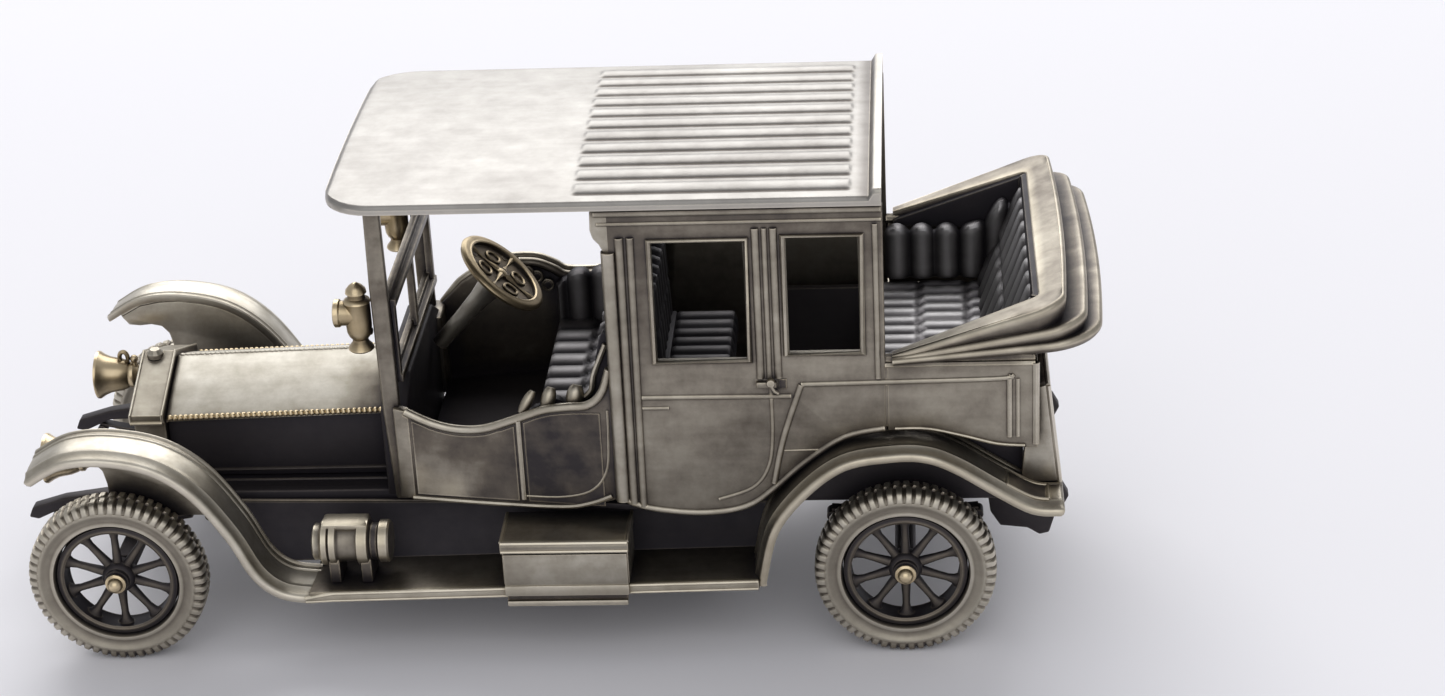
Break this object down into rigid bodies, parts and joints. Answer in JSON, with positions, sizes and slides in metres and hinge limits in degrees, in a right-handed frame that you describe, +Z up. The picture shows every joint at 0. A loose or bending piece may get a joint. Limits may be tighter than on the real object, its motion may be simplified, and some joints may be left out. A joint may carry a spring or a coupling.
{
  "type": "collector model car",
  "caption": "Miniature open-drive landaulette in antiqued silver, with spoked wheels that roll, a glassless cabin, a folded hood and gilt lamps.",
  "frame": {"origin": "middle of the footprint, on the ground under the tyres", "axes": "+X forward along the car, +Y the left side of the car, +Z up"},
  "size_m": [0.0893, 0.0345, 0.041],
  "materials": {
    "polished_silver": "antiqued silver, rubbed bright on the high parts and warm along the edges",
    "oxidised_silver": "blue-black oxidised silver",
    "upholstery_silver": "oxidised silver in a buttoned and pleated pattern, bright on the pleats",
    "tread_silver": "cast silver tyre, dark between the treads",
    "gilt": "worn gilding"
  },
  "bodies": {
    "root": {"chassis_frame": "oxidised_silver", "front_axle": "oxidised_silver", "rear_axle": "oxidised_silver", "front_spring_left": "oxidised_silver", "front_spring_right": "oxidised_silver", "rear_spring_left": "oxidised_silver", "rear_spring_right": "oxidised_silver", "splash_apron_left": "oxidised_silver", "splash_apron_right": "oxidised_silver", "engine_housing": "oxidised_silver", "radiator_core": "oxidised_silver", "windscreen_post_left": "oxidised_silver", "windscreen_post_right": "oxidised_silver", "windscreen_frame": "oxidised_silver", "scuttle": "oxidised_silver", "steering_column": "oxidised_silver", "front_side_left": "oxidised_silver", "front_side_right": "oxidised_silver", "body_floor": "oxidised_silver", "partition": "oxidised_silver", "front_seat_cushion": "upholstery_silver", "front_seat_back": "upholstery_silver", "jump_seat": "upholstery_silver", "rear_seat_cushion": "upholstery_silver", "rear_seat_back": "upholstery_silver", "headlamp_left": "gilt", "headlamp_right": "gilt", "side_lamp_left": "gilt", "side_lamp_right": "gilt", "front_wing_left": "polished_silver", "front_wing_right": "polished_silver", "rear_wing_left": "polished_silver", "rear_wing_right": "polished_silver", "running_board_left": "polished_silver", "running_board_right": "polished_silver", "rear_apron": "polished_silver", "toolbox": "polished_silver", "toolbox_lid": "polished_silver", "gas_generator": "polished_silver", "bonnet": "polished_silver", "radiator_shell": "polished_silver", "cabin_side_left": "polished_silver", "cabin_side_right": "polished_silver", "rear_tub": "polished_silver", "roof": "polished_silver", "folded_hood": "polished_silver"},
    "steering": {"steering_wheel": "gilt"},
    "wheel_front_left_body": {"tyre_front_left": "tread_silver", "wheel_front_left": "oxidised_silver", "hub_cap_front_left": "gilt"},
    "wheel_front_right_body": {"tyre_front_right": "tread_silver", "wheel_front_right": "oxidised_silver", "hub_cap_front_right": "gilt"},
    "wheel_rear_left_body": {"tyre_rear_left": "tread_silver", "wheel_rear_left": "oxidised_silver", "hub_cap_rear_left": "gilt"},
    "wheel_rear_right_body": {"tyre_rear_right": "tread_silver", "wheel_rear_right": "oxidised_silver", "hub_cap_rear_right": "gilt"}
  },
  "joints": [
    {"name": "wheel_front_left_spin", "type": "hinge", "parent": "root", "child": "wheel_front_left_body", "pos_m": [0.0358, 0.0145, 0.00733], "axis": [0, 1, 0], "continuous": true},
    {"name": "wheel_front_right_spin", "type": "hinge", "parent": "root", "child": "wheel_front_right_body", "pos_m": [0.0358, -0.0145, 0.00733], "axis": [0, 1, 0], "continuous": true},
    {"name": "wheel_rear_left_spin", "type": "hinge", "parent": "root", "child": "wheel_rear_left_body", "pos_m": [-0.0286, 0.0145, 0.00733], "axis": [0, 1, 0], "continuous": true},
    {"name": "wheel_rear_right_spin", "type": "hinge", "parent": "root", "child": "wheel_rear_right_body", "pos_m": [-0.0286, -0.0145, 0.00733], "axis": [0, 1, 0], "continuous": true},
    {"name": "steering_wheel_turn", "type": "hinge", "parent": "root", "child": "steering", "pos_m": [0.0051, -0.0045, 0.0253], "axis": [-0.6702, 0, 0.7422], "continuous": true}
  ]
}
